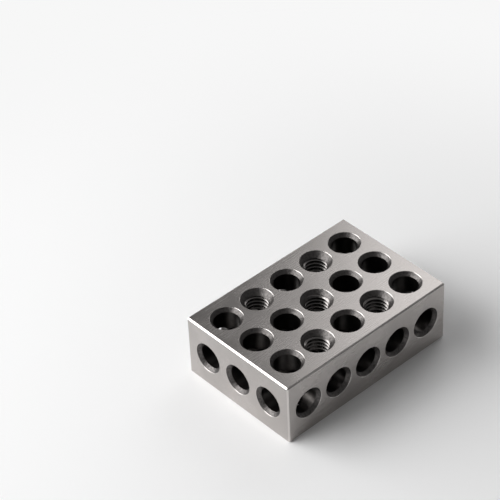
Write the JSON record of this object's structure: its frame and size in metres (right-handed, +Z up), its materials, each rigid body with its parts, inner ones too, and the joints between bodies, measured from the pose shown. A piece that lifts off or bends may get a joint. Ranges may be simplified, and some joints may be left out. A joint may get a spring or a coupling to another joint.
{
  "type": "machinist setup block",
  "caption": "Rectangular ground steel block with countersunk plain and tapped holes through all three directions, used to set up, raise and clamp work on a machine table.",
  "frame": {"origin": "middle of the underside", "axes": "+X along the length, +Y along the width, +Z up through the height"},
  "size_m": [0.0762, 0.0508, 0.0254],
  "materials": {
    "ground_steel": "ground and hardened, satin"
  },
  "bodies": {
    "root": {"setup_block": "ground_steel"}
  },
  "joints": []
}
